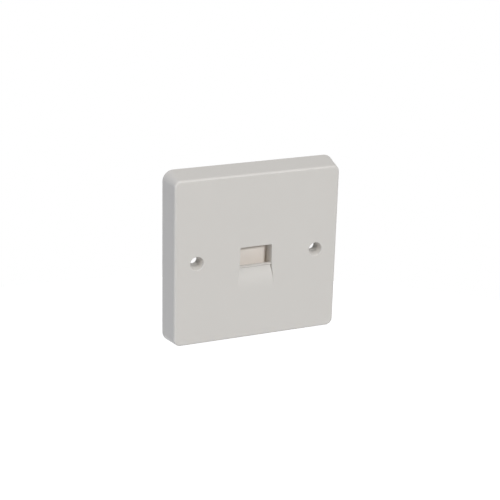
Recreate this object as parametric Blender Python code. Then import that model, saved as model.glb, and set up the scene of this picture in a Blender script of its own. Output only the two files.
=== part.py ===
"""Telephone wall socket: a one-gang faceplate with a shuttered plug opening and what lies behind it.

The frame is in metres. The face looks along -Y, +Z is up, and the faceplate's back rim lies in the
plane Y = 0, which is the face of the wall. The origin is the middle of that plane.
"""
import math

import bmesh
import bpy
from mathutils import Vector

# Clearances and drawing fineness
SEAT_GAP = 0.0003          # between pieces that seat on or slide past each other
EMBED = 0.0005             # how far a rib or boss roots in the wall that carries it
OVERCUT = 0.001            # how far a cutter runs past the face that it opens
CORNER_STEPS = 8
ROUND_STEPS = 24
SMOOTH_ANGLE = math.radians(35)

# Faceplate shell
PLATE_SIDE = 0.086
PLATE_DEPTH = 0.012
PLATE_CORNER = 0.0052      # corner radius of the back outline
SIDE_LEAN = 0.002          # how far each side leans in from the wall to the face
FACE_ROUNDING = 0.0012
FRONT_WALL = 0.0025
SIDE_WALL = 0.002
RIB_THICKNESS = 0.001      # stiffening ribs on the back of the front wall
RIB_HEIGHT = 0.0025
RIB_SPACING = 0.011        # between the two upright ribs above and below the guide frame

# Fixing screw holes
FIXING_SPACING = 0.0603
FIXING_BORE = 0.0044
FIXING_HEAD = 0.0068
COUNTERSINK_DEPTH = 0.0026
FIXING_BOSS_WALL = 0.0012
FIXING_BOSS_LENGTH = 0.007

# Plug opening and the scoop below it
OPENING_X = -0.0005        # the opening stands a little left of the middle
OPENING_WIDTH = 0.016
OPENING_TOP = 0.0052
OPENING_BOTTOM = -0.0045
OPENING_CORNER = 0.0004
BROW_DEPTH = 0.0003        # opening's bottom edge below the face
SCOOP_HEAD = 0.0009        # from that edge down to the scoop's deepest line
SCOOP_DEPTH = 0.0017
SCOOP_LENGTH = 0.0111      # from the deepest line down to the foot
SCOOP_MARGIN = 0.0003      # scoop's half width past the opening's, at its top
SCOOP_FLARE = 0.0009       # what the half width gains down to the scoop's foot
SCOOP_DRAFT = 0.0003
SCOOP_RUNOUT = 0.000016    # depth that is left at the scoop's foot
SCOOP_STATIONS = 12

# Guide frame round the shutter
SHUTTER_RECESS = 0.0069    # from the face to the shutter's panel
PANEL_THICKNESS = 0.0014
PANEL_OVERLAP = 0.0007     # panel past the opening at each side
PANEL_TOP_OVERLAP = 0.001
GUIDE_WALL = 0.0012
GUIDE_REACH = 0.0015       # guide walls past the panel's back
SHUTTER_TRAVEL = 0.011

# Shutter
SHELF_DROP = 0.0028        # shelf below the opening's bottom edge
SHELF_THICKNESS = 0.0012

# Shutter spring
SPRING_RADIUS = 0.002      # to the middle of the wire
WIRE_RADIUS = 0.0002
WIRE_SIDES = 6
SPRING_TURNS = 8
SPRING_STEPS = 16          # points in a turn
SPRING_ROOM = 0.0045       # left for the spring when the shutter is down
PEG_RADIUS = 0.0012
PEG_HEIGHT = 0.0015

# Jack housing
BODY_DEPTH = 0.0115
CAVITY_WIDTH = 0.0146
CAVITY_HEIGHT = 0.0088
CAVITY_DROP = 0.00065      # cavity's middle below the opening's middle
CAVITY_BACK = 0.0014       # wall behind the cavity
BODY_WALL = 0.0024         # at each side of the cavity, and in front of the contacts
NOSE_DROP = 0.0016         # nose below the opening's bottom edge
BODY_ABOVE = 0.0035
BODY_BELOW = 0.0036
BODY_CORNER = 0.0006
EAR_REACH = 0.003          # from the body's side to the screw
EAR_HEIGHT = 0.008
EAR_THICKNESS = 0.0022
LATCH_DEPTH = 0.001        # pocket in the cavity's right wall that the plug's latch springs into
LATCH_WIDTH = 0.005
LATCH_LENGTH = 0.003
LATCH_LEDGE = 0.0006       # from the body's front to the pocket

# Contacts
CONTACT_COUNT = 6
CONTACT_PITCH = 0.0016
CONTACT_WIDTH = 0.0007
CONTACT_THICKNESS = 0.0003
CONTACT_BEND = 0.001
CONTACT_LEAN = math.radians(28)
CONTACT_ARM = 0.006
CONTACT_TAIL = 0.0014      # tail past the board
CONTACT_BEND_STEPS = 8
COMB_RIB = 0.0003
COMB_DEPTH = 0.0009

# Circuit board
BOARD_WIDTH = 0.022
BOARD_MARGIN = 0.0035      # board past the blocks, above and below
BOARD_THICKNESS = 0.0016
BOARD_CORNER = 0.001
TAIL_HOLE = 0.0013

# Wire terminal blocks and their blades
WAYS = 3
WAY_PITCH = 0.005
BLOCK_END = 0.0007         # block past the outer way's half pitch
BLOCK_WIDTH = 0.007
BLOCK_HEIGHT = 0.008
BLOCK_CLEARANCE = 0.0017   # between the board screws' heads and the block below them
WIRE_SLOT = 0.0013
WIRE_SLOT_DEPTH = 0.005
WIRE_SLOT_FLARE = 0.0006   # how far the slot opens at its mouth, each side
BLADE_WIDTH = 0.0034
BLADE_THICKNESS = 0.0005
BLADE_RECESS = 0.001       # blade's tips below the block's top
BLADE_SLIT = 0.0004
BLADE_SLIT_DEPTH = 0.004
BLADE_THROAT = 0.0006      # how far the slit opens at its mouth, each side
TAIL_WIDTH = 0.0007
TAIL_LENGTH = 0.0026

# Screws
SCREW_SHANK = 0.0012       # radius
SCREW_TIP = 0.0004         # radius
SCREW_HEAD = 0.0023        # radius
SCREW_HEAD_HEIGHT = 0.0014
DOME_STEPS = 3
SCREW_LENGTH = 0.007       # under the head
SCREW_BOSS_WALL = 0.0014
BOARD_SCREW_LENGTH = 0.0055
BOARD_SCREW_OFFSET = 0.005

# Places worked out from the sizes above
HALF = PLATE_SIDE / 2
FACE_Y = -PLATE_DEPTH
WALL_BACK_Y = FACE_Y + FRONT_WALL
PANEL_FRONT_Y = FACE_Y + SHUTTER_RECESS
PANEL_BACK_Y = PANEL_FRONT_Y + PANEL_THICKNESS
GUIDE_STEP_Y = PANEL_FRONT_Y - SEAT_GAP
GUIDE_BACK_Y = PANEL_BACK_Y + GUIDE_REACH
SHELF_FRONT_Y = WALL_BACK_Y + SEAT_GAP
OPENING_HALF = OPENING_WIDTH / 2
PANEL_HALF = OPENING_HALF + PANEL_OVERLAP
GUIDE_HALF = PANEL_HALF + SEAT_GAP + GUIDE_WALL
PANEL_TOP = OPENING_TOP + PANEL_TOP_OVERLAP
GUIDE_TOP = PANEL_TOP + SEAT_GAP + GUIDE_WALL
SHELF_TOP = OPENING_BOTTOM - SHELF_DROP
PANEL_BOTTOM = SHELF_TOP - SHELF_THICKNESS
SEAT_Z = PANEL_BOTTOM - SHUTTER_TRAVEL - SPRING_ROOM
GUIDE_BOTTOM = SEAT_Z - GUIDE_WALL
SPRING_Y = (SHELF_FRONT_Y + PANEL_BACK_Y) / 2
BOSS_EDGE = FIXING_SPACING / 2 + FIXING_HEAD / 2 + FIXING_BOSS_WALL
NOSE_FRONT_Y = PANEL_BACK_Y + SEAT_GAP
BODY_FRONT_Y = GUIDE_BACK_Y + SEAT_GAP
BODY_BACK_Y = BODY_FRONT_Y + BODY_DEPTH
BODY_HALF = CAVITY_WIDTH / 2 + BODY_WALL
CAVITY_MIDDLE = (OPENING_TOP + OPENING_BOTTOM) / 2 - CAVITY_DROP
CAVITY_TOP = CAVITY_MIDDLE + CAVITY_HEIGHT / 2
CAVITY_BOTTOM = CAVITY_MIDDLE - CAVITY_HEIGHT / 2
BODY_TOP = CAVITY_TOP + BODY_ABOVE
BODY_BOTTOM = CAVITY_BOTTOM - BODY_BELOW
EAR_X = BODY_HALF + EAR_REACH
BOSS_RADIUS = SCREW_SHANK + SEAT_GAP + SCREW_BOSS_WALL
BOARD_FRONT_Y = BODY_BACK_Y + SEAT_GAP
BOARD_BACK_Y = BOARD_FRONT_Y + BOARD_THICKNESS
BLOCK_BASE_Y = BOARD_BACK_Y + SEAT_GAP
BLOCK_TOP_Y = BLOCK_BASE_Y + BLOCK_HEIGHT
CONTACT_TOP_Z = CAVITY_TOP + 2 * CONTACT_BEND + CONTACT_THICKNESS
BAY_TOP = CONTACT_TOP_Z + SEAT_GAP
BAY_HALF = (CONTACT_COUNT - 1) * CONTACT_PITCH / 2 + CONTACT_WIDTH / 2 + SEAT_GAP
BAY_FRONT_Y = BODY_FRONT_Y + BODY_WALL
BOARD_SCREW_Z = (CAVITY_BOTTOM + BODY_BOTTOM) / 2
BLOCK_OFFSET = CAVITY_MIDDLE - BOARD_SCREW_Z + SCREW_HEAD + BLOCK_CLEARANCE + BLOCK_WIDTH / 2
BOARD_HALF_HEIGHT = BLOCK_OFFSET + BLOCK_WIDTH / 2 + BOARD_MARGIN


def clear_scene():
    """Empties the scene that the script starts in."""
    for obj in list(bpy.data.objects):
        bpy.data.objects.remove(obj, do_unlink=True)


def material(name, colour, roughness, metallic=0.0):
    """Makes a plain material with the piece's colour and finish."""
    made = bpy.data.materials.new(name)
    made.use_nodes = True
    shader = made.node_tree.nodes["Principled BSDF"]
    shader.inputs["Base Color"].default_value = (*colour, 1.0)
    shader.inputs["Roughness"].default_value = roughness
    shader.inputs["Metallic"].default_value = metallic
    return made


def add_object(name, bm, finish=None):
    """Turns a bmesh into a named object with its faces outward and its round stretches smooth."""
    bmesh.ops.recalc_face_normals(bm, faces=bm.faces)
    mesh = bpy.data.meshes.new(name)
    bm.to_mesh(mesh)
    bm.free()
    if finish:
        mesh.materials.append(finish)
    mesh.shade_smooth()
    mesh.set_sharp_from_angle(angle=SMOOTH_ANGLE)
    obj = bpy.data.objects.new(name, mesh)
    bpy.context.collection.objects.link(obj)
    return obj


def combine(target, name, bm, operation):
    """Adds the bmesh to the target, or cuts it out, through a Boolean with a hidden tool."""
    tool = add_object(name, bm)
    tool.hide_render = True
    tool.display_type = "WIRE"
    modifier = target.modifiers.new(name, "BOOLEAN")
    modifier.operation = operation
    modifier.solver = "EXACT"
    modifier.object = tool


def loft(bm, rings):
    """Skins a row of rings of points with as many points each, and closes both ends."""
    rows = [[bm.verts.new(point) for point in ring] for ring in rings]
    for near, far in zip(rows, rows[1:]):
        for i in range(len(near)):
            j = (i + 1) % len(near)
            bm.faces.new((near[i], near[j], far[j], far[i]))
    bm.faces.new(rows[0])
    bm.faces.new(reversed(rows[-1]))


def block(bm, low, high):
    """Adds a box between two corners."""
    (x0, y0, z0), (x1, y1, z1) = low, high
    loft(bm, [[(x, y0, z0), (x, y1, z0), (x, y1, z1), (x, y0, z1)] for x in (x0, x1)])


def rounded_rectangle(half_width, half_height, radius, steps=CORNER_STEPS):
    """Outline of a rectangle with round corners, as (x, z) pairs about its middle."""
    points = []
    for quarter, (sx, sz) in enumerate(((1, 1), (-1, 1), (-1, -1), (1, -1))):
        cx = sx * (half_width - radius)
        cz = sz * (half_height - radius)
        for step in range(steps + 1):
            angle = math.pi / 2 * (quarter + step / steps)
            points.append((cx + radius * math.cos(angle), cz + radius * math.sin(angle)))
    return points


def rounded_block(bm, low, high, radius, steps=CORNER_STEPS):
    """Adds a box between two corners, with the edges that run along Y rounded."""
    (x0, y0, z0), (x1, y1, z1) = low, high
    mid_x = (x0 + x1) / 2
    mid_z = (z0 + z1) / 2
    outline = rounded_rectangle((x1 - x0) / 2, (z1 - z0) / 2, radius, steps)
    loft(bm, [[(mid_x + x, y, mid_z + z) for x, z in outline] for y in (y0, y1)])


def turned(bm, x, z, profile, steps=ROUND_STEPS):
    """Adds a body turned about an axis along Y, from (radius, y) pairs."""
    turns = [2 * math.pi * i / steps for i in range(steps)]
    loft(bm, [[(x + r * math.cos(a), y, z + r * math.sin(a)) for a in turns] for r, y in profile])


def upright_pin(bm, x, y, low, high, radius, steps=ROUND_STEPS):
    """Adds a round pin along Z."""
    turns = [2 * math.pi * i / steps for i in range(steps)]
    loft(bm, [[(x + radius * math.cos(a), y + radius * math.sin(a), z) for a in turns] for z in (low, high)])


def across(bm, outline, half_width, x=OPENING_X):
    """Adds a prism along X from an outline of (y, z) pairs."""
    loft(bm, [[(x + side * half_width, y, z) for y, z in outline] for side in (-1, 1)])


def both_sides(distance, middle=0.0):
    """The two places at the given distance left and right of the middle."""
    return (middle - distance, middle + distance)


def plate_ring(y, inset, corner_loss):
    """One level of the plate's outline, drawn in by the inset."""
    radius = max(PLATE_CORNER - corner_loss, FACE_ROUNDING)
    return [(px, y, pz) for px, pz in rounded_rectangle(HALF - inset, HALF - inset, radius)]


def lean_at(y):
    """How far the sides have leaned in at a level."""
    return SIDE_LEAN * y / FACE_Y


def plate_shell():
    """Open-backed moulding: leaning sides, a rounded front edge and an even wall inside."""
    bm = bmesh.new()
    rings = [plate_ring(0.0, 0.0, 0.0)]
    shoulder = FACE_Y + FACE_ROUNDING
    steps = CORNER_STEPS // 2
    for step in range(steps + 1):
        angle = math.pi / 2 * step / steps
        y = shoulder - FACE_ROUNDING * math.sin(angle)
        inset = lean_at(shoulder) + FACE_ROUNDING * (1 - math.cos(angle))
        rings.append(plate_ring(y, inset, inset))
    inside = [(0.0, SIDE_WALL), (WALL_BACK_Y, SIDE_WALL + lean_at(WALL_BACK_Y))]
    inner = [plate_ring(y, inset, inset) for y, inset in inside]
    outer_rows = [[bm.verts.new(p) for p in ring] for ring in rings]
    inner_rows = [[bm.verts.new(p) for p in ring] for ring in inner]
    rows = outer_rows[::-1] + inner_rows
    count = len(rows[0])
    for near, far in zip(rows, rows[1:]):
        for i in range(count):
            j = (i + 1) % count
            bm.faces.new((near[i], near[j], far[j], far[i]))
    bm.faces.new(rows[0])
    bm.faces.new(rows[-1])
    return bm


def guide_frame():
    """Solid block that the shutter's channel is cut from."""
    bm = bmesh.new()
    low = (OPENING_X - GUIDE_HALF, WALL_BACK_Y - EMBED, GUIDE_BOTTOM)
    high = (OPENING_X + GUIDE_HALF, GUIDE_BACK_Y, GUIDE_TOP)
    block(bm, low, high)
    return bm


def fixing_bosses():
    """Round bosses behind the two fixing holes."""
    bm = bmesh.new()
    radius = FIXING_HEAD / 2 + FIXING_BOSS_WALL
    for x in both_sides(FIXING_SPACING / 2):
        turned(bm, x, 0.0, [(radius, WALL_BACK_Y - EMBED), (radius, FACE_Y + FIXING_BOSS_LENGTH)])
    return bm


def housing_bosses():
    """Bosses that the jack housing's ears are screwed to."""
    bm = bmesh.new()
    for x in both_sides(EAR_X, OPENING_X):
        turned(bm, x, CAVITY_MIDDLE, [(BOSS_RADIUS, WALL_BACK_Y - EMBED), (BOSS_RADIUS, GUIDE_BACK_Y)])
    return bm


def ribs():
    """Low ribs that stiffen the front wall between the bosses, the guide frame and the sides."""
    bm = bmesh.new()
    front = WALL_BACK_Y - EMBED
    back = WALL_BACK_Y + RIB_HEIGHT
    half = RIB_THICKNESS / 2
    side = HALF - SIDE_WALL - lean_at(WALL_BACK_Y) + 2 * EMBED
    block(bm, (BOSS_EDGE - EMBED, front, -half), (side, back, half))
    block(bm, (-side, front, -half), (EMBED - BOSS_EDGE, back, half))
    for x in both_sides(RIB_SPACING / 2, OPENING_X):
        block(bm, (x - half, front, GUIDE_TOP - EMBED), (x + half, back, side))
        block(bm, (x - half, front, -side), (x + half, back, GUIDE_BOTTOM + EMBED))
    return bm


def shutter_channel():
    """Room behind the front wall: a wide slot for the panel and a narrower one for its shelf."""
    bm = bmesh.new()
    wide = PANEL_HALF + SEAT_GAP
    back = GUIDE_BACK_Y + OVERCUT
    block(bm, (OPENING_X - wide, GUIDE_STEP_Y, SEAT_Z), (OPENING_X + wide, back, PANEL_TOP + SEAT_GAP))
    return bm


def shelf_channel():
    """The narrower room between the front wall and the panel's slot."""
    bm = bmesh.new()
    low = (OPENING_X - OPENING_HALF, WALL_BACK_Y, SEAT_Z)
    high = (OPENING_X + OPENING_HALF, GUIDE_STEP_Y + EMBED, OPENING_TOP)
    block(bm, low, high)
    return bm


def plug_opening():
    """Cut through the front wall."""
    bm = bmesh.new()
    low = (OPENING_X - OPENING_HALF, FACE_Y - OVERCUT, OPENING_BOTTOM)
    high = (OPENING_X + OPENING_HALF, WALL_BACK_Y + EMBED, OPENING_TOP)
    rounded_block(bm, low, high, OPENING_CORNER, CORNER_STEPS // 2)
    return bm


def scoop():
    """Finger scoop: dips steeply below the opening, then flares and runs out smoothly into the face."""
    bm = bmesh.new()
    levels = [(OPENING_BOTTOM + SCOOP_HEAD, 0.0, BROW_DEPTH), (OPENING_BOTTOM, 0.0, BROW_DEPTH)]
    for station in range(SCOOP_STATIONS + 1):
        along = station / SCOOP_STATIONS
        z = OPENING_BOTTOM - SCOOP_HEAD - SCOOP_LENGTH * along
        levels.append((z, along, max(SCOOP_DEPTH * (1 - along) ** 2, SCOOP_RUNOUT)))
    mouth_gain = SCOOP_DRAFT * OVERCUT / SCOOP_DEPTH
    rings = []
    for z, along, depth in levels:
        half = OPENING_HALF + SCOOP_MARGIN + SCOOP_FLARE * math.sin(math.pi / 2 * along)
        mouth = half + mouth_gain
        foot = half - SCOOP_DRAFT * depth / SCOOP_DEPTH
        section = [(-mouth, -OVERCUT), (-foot, depth), (foot, depth), (mouth, -OVERCUT)]
        rings.append([(OPENING_X + x, FACE_Y + y, z) for x, y in section])
    loft(bm, rings)
    return bm


def fixing_holes():
    """Countersunk holes for the two fixing screws, which aren't fitted."""
    bm = bmesh.new()
    head = FIXING_HEAD / 2
    bore = FIXING_BORE / 2
    mouth = head + (head - bore) * OVERCUT / COUNTERSINK_DEPTH
    profile = [(mouth, FACE_Y - OVERCUT), (bore, FACE_Y + COUNTERSINK_DEPTH),
               (bore, FACE_Y + FIXING_BOSS_LENGTH + OVERCUT)]
    for x in both_sides(FIXING_SPACING / 2):
        turned(bm, x, 0.0, profile)
    return bm


def pilot_holes(places, radius, mouth, bottom):
    """Blind holes along Y for screws."""
    bm = bmesh.new()
    for x, z in places:
        turned(bm, x, z, [(radius, bottom), (radius, mouth)], ROUND_STEPS // 2)
    return bm


def faceplate(finish):
    """The moulding that shows, with all that is moulded on its back."""
    plate = add_object("faceplate", plate_shell(), finish)
    combine(plate, "guide_frame", guide_frame(), "UNION")
    combine(plate, "fixing_bosses", fixing_bosses(), "UNION")
    combine(plate, "housing_bosses", housing_bosses(), "UNION")
    combine(plate, "ribs", ribs(), "UNION")
    combine(plate, "shutter_channel", shutter_channel(), "DIFFERENCE")
    combine(plate, "shelf_channel", shelf_channel(), "DIFFERENCE")
    combine(plate, "plug_opening", plug_opening(), "DIFFERENCE")
    combine(plate, "scoop", scoop(), "DIFFERENCE")
    combine(plate, "fixing_holes", fixing_holes(), "DIFFERENCE")
    ears = [(x, CAVITY_MIDDLE) for x in both_sides(EAR_X, OPENING_X)]
    mouth = GUIDE_BACK_Y + OVERCUT
    bottom = BODY_FRONT_Y + EAR_THICKNESS - SCREW_LENGTH
    combine(plate, "boss_pilots", pilot_holes(ears, SCREW_SHANK + SEAT_GAP, mouth, bottom), "DIFFERENCE")
    peg = bmesh.new()
    upright_pin(peg, OPENING_X, SPRING_Y, SEAT_Z - EMBED, SEAT_Z + PEG_HEIGHT, PEG_RADIUS)
    combine(plate, "seat_peg", peg, "UNION")
    return plate


def shutter(finish):
    """Sliding panel with a shelf at its foot and a peg under the shelf for the spring."""
    bm = bmesh.new()
    low = (OPENING_X - PANEL_HALF, PANEL_FRONT_Y, PANEL_BOTTOM)
    high = (OPENING_X + PANEL_HALF, PANEL_BACK_Y, PANEL_TOP)
    block(bm, low, high)
    panel = add_object("shutter", bm, finish)
    shelf = bmesh.new()
    reach = OPENING_HALF - SEAT_GAP
    low = (OPENING_X - reach, SHELF_FRONT_Y, PANEL_BOTTOM)
    high = (OPENING_X + reach, PANEL_FRONT_Y + EMBED, SHELF_TOP)
    block(shelf, low, high)
    combine(panel, "shelf", shelf, "UNION")
    peg = bmesh.new()
    upright_pin(peg, OPENING_X, SPRING_Y, PANEL_BOTTOM - PEG_HEIGHT, PANEL_BOTTOM + EMBED, PEG_RADIUS)
    combine(panel, "shutter_peg", peg, "UNION")
    return panel


def shutter_spring(finish):
    """Coil spring between the seat and the shutter's foot."""
    bm = bmesh.new()
    foot = SEAT_Z + SEAT_GAP + WIRE_RADIUS
    head = PANEL_BOTTOM - SEAT_GAP - WIRE_RADIUS
    count = SPRING_TURNS * SPRING_STEPS
    rings = []
    for i in range(count + 1):
        angle = 2 * math.pi * i / SPRING_STEPS
        out = Vector((math.cos(angle), math.sin(angle), 0.0))
        centre = Vector((OPENING_X, SPRING_Y, foot + (head - foot) * i / count)) + out * SPRING_RADIUS
        wire = [2 * math.pi * k / WIRE_SIDES for k in range(WIRE_SIDES)]
        rings.append([centre + WIRE_RADIUS * (out * math.cos(a) + Vector((0, 0, math.sin(a)))) for a in wire])
    loft(bm, rings)
    return add_object("shutter_spring", bm, finish)


def contact_places():
    """The six contacts' places across the jack."""
    first = OPENING_X - (CONTACT_COUNT - 1) * CONTACT_PITCH / 2
    return [first + i * CONTACT_PITCH for i in range(CONTACT_COUNT)]


def jack_housing(finish):
    """Moulding behind the shutter: a nose in the guide frame, the plug's cavity, and two ears."""
    bm = bmesh.new()
    low = (OPENING_X - BODY_HALF, BODY_FRONT_Y, BODY_BOTTOM)
    high = (OPENING_X + BODY_HALF, BODY_BACK_Y, BODY_TOP)
    rounded_block(bm, low, high, BODY_CORNER, CORNER_STEPS // 2)
    housing = add_object("jack_housing", bm, finish)
    nose = bmesh.new()
    low = (OPENING_X - PANEL_HALF, NOSE_FRONT_Y, OPENING_BOTTOM - NOSE_DROP)
    high = (OPENING_X + PANEL_HALF, BODY_FRONT_Y + EMBED, PANEL_TOP)
    block(nose, low, high)
    combine(housing, "nose", nose, "UNION")
    ears = bmesh.new()
    ear_half = EAR_HEIGHT / 2
    reach = EAR_X + BOSS_RADIUS
    low = (OPENING_X - reach, BODY_FRONT_Y, CAVITY_MIDDLE - ear_half)
    high = (OPENING_X + reach, BODY_FRONT_Y + EAR_THICKNESS, CAVITY_MIDDLE + ear_half)
    rounded_block(ears, low, high, BOSS_RADIUS)
    combine(housing, "ears", ears, "UNION")
    cavity = bmesh.new()
    low = (OPENING_X - CAVITY_WIDTH / 2, NOSE_FRONT_Y - OVERCUT, CAVITY_BOTTOM)
    high = (OPENING_X + CAVITY_WIDTH / 2, BODY_BACK_Y - CAVITY_BACK, CAVITY_TOP)
    rounded_block(cavity, low, high, BODY_CORNER, CORNER_STEPS // 2)
    combine(housing, "plug_cavity", cavity, "DIFFERENCE")
    latch = bmesh.new()
    ledge = BODY_FRONT_Y + LATCH_LEDGE
    pocket = OPENING_X + CAVITY_WIDTH / 2 + LATCH_DEPTH
    low = (OPENING_X, ledge, CAVITY_MIDDLE - LATCH_WIDTH / 2)
    high = (pocket, ledge + LATCH_LENGTH, CAVITY_MIDDLE + LATCH_WIDTH / 2)
    block(latch, low, high)
    combine(housing, "latch_pocket", latch, "DIFFERENCE")
    bay = bmesh.new()
    low = (OPENING_X - BAY_HALF, BAY_FRONT_Y, CAVITY_TOP - EMBED)
    high = (OPENING_X + BAY_HALF, BODY_BACK_Y + OVERCUT, BAY_TOP)
    block(bay, low, high)
    combine(housing, "contact_bay", bay, "DIFFERENCE")
    comb = bmesh.new()
    for x in contact_places()[1:]:
        middle = x - CONTACT_PITCH / 2
        low = (middle - COMB_RIB / 2, BAY_FRONT_Y - EMBED, BAY_TOP - COMB_DEPTH)
        high = (middle + COMB_RIB / 2, BODY_BACK_Y, BAY_TOP + EMBED)
        block(comb, low, high)
    combine(housing, "contact_comb", comb, "UNION")
    ear_holes = [(x, CAVITY_MIDDLE) for x in both_sides(EAR_X, OPENING_X)]
    back = BODY_FRONT_Y + EAR_THICKNESS + OVERCUT
    holes = pilot_holes(ear_holes, SCREW_SHANK + SEAT_GAP, back, BODY_FRONT_Y - OVERCUT)
    combine(housing, "ear_holes", holes, "DIFFERENCE")
    board_holes = [(x, BOARD_SCREW_Z) for x in both_sides(BOARD_SCREW_OFFSET, OPENING_X)]
    bottom = BOARD_BACK_Y - BOARD_SCREW_LENGTH
    pilots = pilot_holes(board_holes, SCREW_SHANK + SEAT_GAP, BODY_BACK_Y + OVERCUT, bottom)
    combine(housing, "board_pilots", pilots, "DIFFERENCE")
    return housing


def contact_strip():
    """Side view of a contact: a straight tail, a bend over the front, and an arm that leans back."""
    half = CONTACT_THICKNESS / 2
    bend_y = BAY_FRONT_Y + SEAT_GAP + half + CONTACT_BEND
    tail_z = CONTACT_TOP_Z - half
    centre_z = tail_z - CONTACT_BEND
    path = [(BOARD_BACK_Y + CONTACT_TAIL, tail_z, 0.0, 1.0)]
    for step in range(CONTACT_BEND_STEPS + 1):
        turn = math.pi / 2 + (math.pi - CONTACT_LEAN) * step / CONTACT_BEND_STEPS
        out = (math.cos(turn), math.sin(turn))
        path.append((bend_y + CONTACT_BEND * out[0], centre_z + CONTACT_BEND * out[1], *out))
    y, z, out_y, out_z = path[-1]
    reach = CONTACT_ARM * math.cos(CONTACT_LEAN)
    drop = CONTACT_ARM * math.sin(CONTACT_LEAN)
    path.append((y + reach, z - drop, out_y, out_z))
    outer = [(y + half * oy, z + half * oz) for y, z, oy, oz in path]
    inner = [(y - half * oy, z - half * oz) for y, z, oy, oz in path]
    return outer + inner[::-1]


def contacts(finish):
    """Six contact springs side by side."""
    for number, x in enumerate(contact_places(), start=1):
        bm = bmesh.new()
        across(bm, contact_strip(), CONTACT_WIDTH / 2, x)
        add_object(f"contact_spring_{number}", bm, finish)


def block_ways(side):
    """The places of one terminal block's ways."""
    z = CAVITY_MIDDLE + side * BLOCK_OFFSET
    return [(OPENING_X + (way - (WAYS - 1) / 2) * WAY_PITCH, z) for way in range(WAYS)]


def circuit_board(finish):
    """Board behind the housing, with a hole for every tail and screw."""
    bm = bmesh.new()
    low = (OPENING_X - BOARD_WIDTH / 2, BOARD_FRONT_Y, CAVITY_MIDDLE - BOARD_HALF_HEIGHT)
    high = (OPENING_X + BOARD_WIDTH / 2, BOARD_BACK_Y, CAVITY_MIDDLE + BOARD_HALF_HEIGHT)
    rounded_block(bm, low, high, BOARD_CORNER, CORNER_STEPS // 2)
    board = add_object("circuit_board", bm, finish)
    tails = [(x, CONTACT_TOP_Z - CONTACT_THICKNESS / 2) for x in contact_places()]
    places = tails + block_ways(1) + block_ways(-1)
    front = BOARD_FRONT_Y - OVERCUT
    back = BOARD_BACK_Y + OVERCUT
    combine(board, "tail_holes", pilot_holes(places, TAIL_HOLE / 2, back, front), "DIFFERENCE")
    screws = [(x, BOARD_SCREW_Z) for x in both_sides(BOARD_SCREW_OFFSET, OPENING_X)]
    combine(board, "screw_holes", pilot_holes(screws, SCREW_SHANK + SEAT_GAP, back, front), "DIFFERENCE")
    return board


def slot_outline():
    """Half of a wire slot's section, from its floor to its flared mouth, as (x, y) pairs."""
    half = WIRE_SLOT / 2
    return [(half, BLOCK_TOP_Y - WIRE_SLOT_DEPTH), (half, BLOCK_TOP_Y - WIRE_SLOT_FLARE),
            (half + WIRE_SLOT_FLARE, BLOCK_TOP_Y), (half + WIRE_SLOT_FLARE, BLOCK_TOP_Y + OVERCUT)]


def terminal_block(name, side, finish):
    """Three-way block: a slot for each wire, crossed by a pocket for its blade."""
    bm = bmesh.new()
    middle = CAVITY_MIDDLE + side * BLOCK_OFFSET
    half_row = WAYS * WAY_PITCH / 2 + BLOCK_END
    low = (OPENING_X - half_row, BLOCK_BASE_Y, middle - BLOCK_WIDTH / 2)
    high = (OPENING_X + half_row, BLOCK_TOP_Y, middle + BLOCK_WIDTH / 2)
    rounded_block(bm, low, high, BODY_CORNER, CORNER_STEPS // 2)
    made = add_object(name, bm, finish)
    slots = bmesh.new()
    pockets = bmesh.new()
    section = slot_outline()
    section += [(-x, y) for x, y in reversed(section)]
    wide = BLADE_WIDTH / 2 + SEAT_GAP
    thick = BLADE_THICKNESS / 2 + SEAT_GAP
    for x, z in block_ways(side):
        loft(slots, [[(x + px, y, z + end * BLOCK_WIDTH) for px, y in section] for end in (-1, 1)])
        low = (x - wide, BLOCK_BASE_Y - OVERCUT, z - thick)
        high = (x + wide, BLOCK_TOP_Y + OVERCUT, z + thick)
        block(pockets, low, high)
    combine(made, f"{name}_wire_slots", slots, "DIFFERENCE")
    combine(made, f"{name}_pockets", pockets, "DIFFERENCE")
    return made


def blade_outline():
    """Half of a forked blade's outline, from its slit to its tail, as (x, y) pairs."""
    tip = BLOCK_TOP_Y - BLADE_RECESS
    slit = BLADE_SLIT / 2
    return [(slit, tip - BLADE_SLIT_DEPTH), (slit, tip - BLADE_THROAT), (slit + BLADE_THROAT, tip),
            (BLADE_WIDTH / 2, tip), (BLADE_WIDTH / 2, BLOCK_BASE_Y), (TAIL_WIDTH / 2, BLOCK_BASE_Y),
            (TAIL_WIDTH / 2, BLOCK_BASE_Y - TAIL_LENGTH)]


def blades(finish):
    """Six forked blades, three in each block."""
    half = blade_outline()
    outline = half + [(-x, y) for x, y in reversed(half)]
    for number, (x, z) in enumerate(block_ways(1) + block_ways(-1), start=1):
        bm = bmesh.new()
        faces = [z - BLADE_THICKNESS / 2, z + BLADE_THICKNESS / 2]
        loft(bm, [[(x + px, y, level) for px, y in outline] for level in faces])
        add_object(f"idc_blade_{number}", bm, finish)


def screw(name, x, z, seat, length, finish):
    """Small pan-head screw that points along -Y, with its head on the seat."""
    bm = bmesh.new()
    tip = seat - length
    head_foot = seat + SEAT_GAP
    profile = [(SCREW_TIP, tip), (SCREW_SHANK, tip + SCREW_SHANK), (SCREW_SHANK, head_foot),
               (SCREW_HEAD, head_foot)]
    for step in range(DOME_STEPS + 1):
        angle = math.pi / 2 * step / DOME_STEPS
        radius = SCREW_HEAD * (1 + math.cos(angle)) / 2
        profile.append((radius, head_foot + SCREW_HEAD_HEIGHT * (1 + math.sin(angle)) / 2))
    turned(bm, x, z, profile, ROUND_STEPS // 2)
    return add_object(name, bm, finish)


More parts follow.
